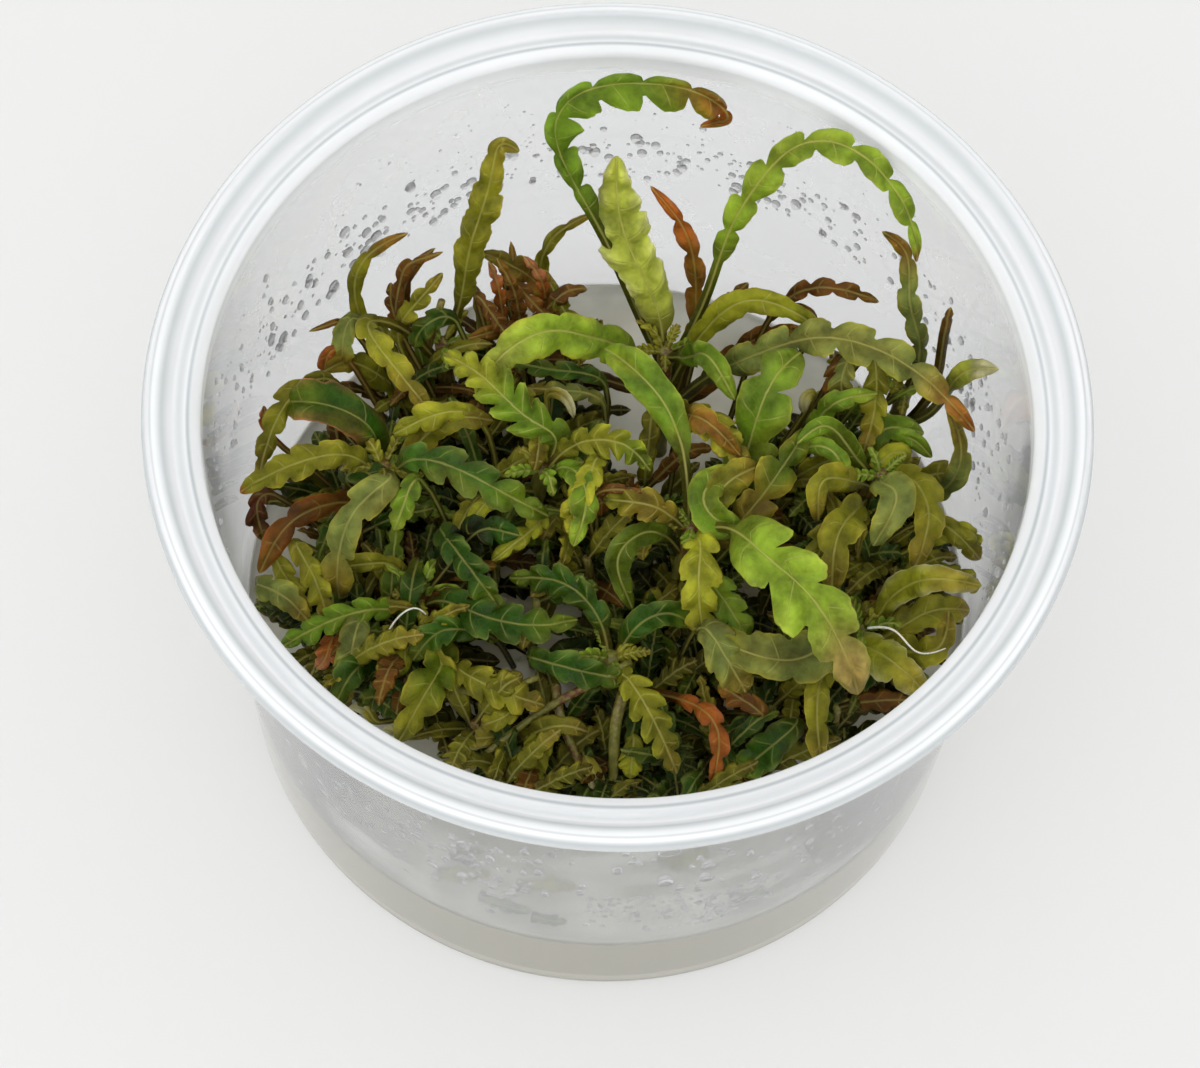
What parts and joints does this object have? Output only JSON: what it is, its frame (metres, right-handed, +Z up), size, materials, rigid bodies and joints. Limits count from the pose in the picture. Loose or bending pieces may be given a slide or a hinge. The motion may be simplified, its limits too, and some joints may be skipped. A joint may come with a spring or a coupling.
{
  "type": "hygrophila plantlets in a culture cup",
  "caption": "Wide-rimmed clear cup with nutrient gel, from which a dense clump of lobed, feather-like hygrophila leaves grows on short stems.",
  "frame": {"origin": "centre of the cup's foot, on the surface that it stands on", "axes": "+Z up along the cup's axis; -Y is the front, where the broad bright leaf leans out"},
  "size_m": [0.1, 0.1, 0.0695],
  "materials": {
    "cup_plastic": "clear moulded polypropylene, misted with fine condensation, with a milky rim",
    "agar_gel": "clear yellowish nutrient gel, smooth and wet",
    "stem": "smooth living stem, olive to reddish brown",
    "leaf_bright": "young leaf, fresh green, soft gloss",
    "leaf_yellow": "pale leaf, yellowish green, soft gloss",
    "leaf_olive": "older leaf, olive green, damp",
    "leaf_dark": "shaded leaf, dark green, damp and glossy",
    "leaf_brown": "old leaf, reddish brown"
  },
  "bodies": {
    "root": {"cup": "cup_plastic", "gel": "agar_gel", "stem_back": "stem", "stem_back_left": "stem", "stem_back_brown": "stem", "stem_left": "stem", "stem_centre_left": "stem", "stem_centre": "stem", "stem_right": "stem", "stem_far_right": "stem", "stem_right_front": "stem", "stem_front": "stem", "stem_front_left": "stem", "leaf_arch_back": "leaf_olive", "leaf_upright_pale": "leaf_yellow", "leaf_arch_right": "leaf_bright", "leaf_arched_yellow": "leaf_yellow", "leaf_top_green": "leaf_bright", "leaf_long_right": "leaf_olive", "leaf_bright_top": "leaf_bright", "leaf_brown_olive": "leaf_brown", "leaf_orange_tip": "leaf_brown", "leaf_green_curl": "leaf_olive", "leaf_upright_left": "leaf_olive", "leaf_thin_left": "leaf_olive", "leaf_olive_left": "leaf_olive", "leaf_edge_left": "leaf_olive", "leaf_brown_back": "leaf_brown", "leaf_brown_low": "leaf_brown", "leaf_dark_round": "leaf_dark", "leaf_pale_olive": "leaf_olive", "leaf_red_brown": "leaf_brown", "leaf_grey_hanging": "leaf_olive", "leaf_blue_green": "leaf_dark", "leaf_pale_pinnate": "leaf_yellow", "leaf_hook_green": "leaf_bright", "leaf_green_olive": "leaf_olive", "leaf_olive_brown": "leaf_brown", "leaf_lobed_vertical": "leaf_olive", "leaf_hero": "leaf_bright", "leaf_under_hero": "leaf_dark", "leaf_grey_vertical": "leaf_olive", "leaf_broad_green": "leaf_bright", "leaf_grey_round": "leaf_olive", "leaf_olive_vertical": "leaf_olive", "leaf_olive_mid": "leaf_olive", "leaf_right_vertical": "leaf_dark", "leaf_small_right": "leaf_bright", "leaf_twisted_right": "leaf_dark", "leaf_pale_right": "leaf_olive", "leaf_low_right": "leaf_olive", "leaf_yellow_right": "leaf_yellow", "leaf_olive_hanging": "leaf_olive", "leaf_patterned": "leaf_olive", "leaf_yellow_lobed": "leaf_yellow", "leaf_long_dark": "leaf_dark", "leaf_dark_upper": "leaf_dark", "leaf_bright_left": "leaf_bright", "leaf_front_olive": "leaf_olive", "leaf_front_dark": "leaf_dark"}
  },
  "joints": []
}
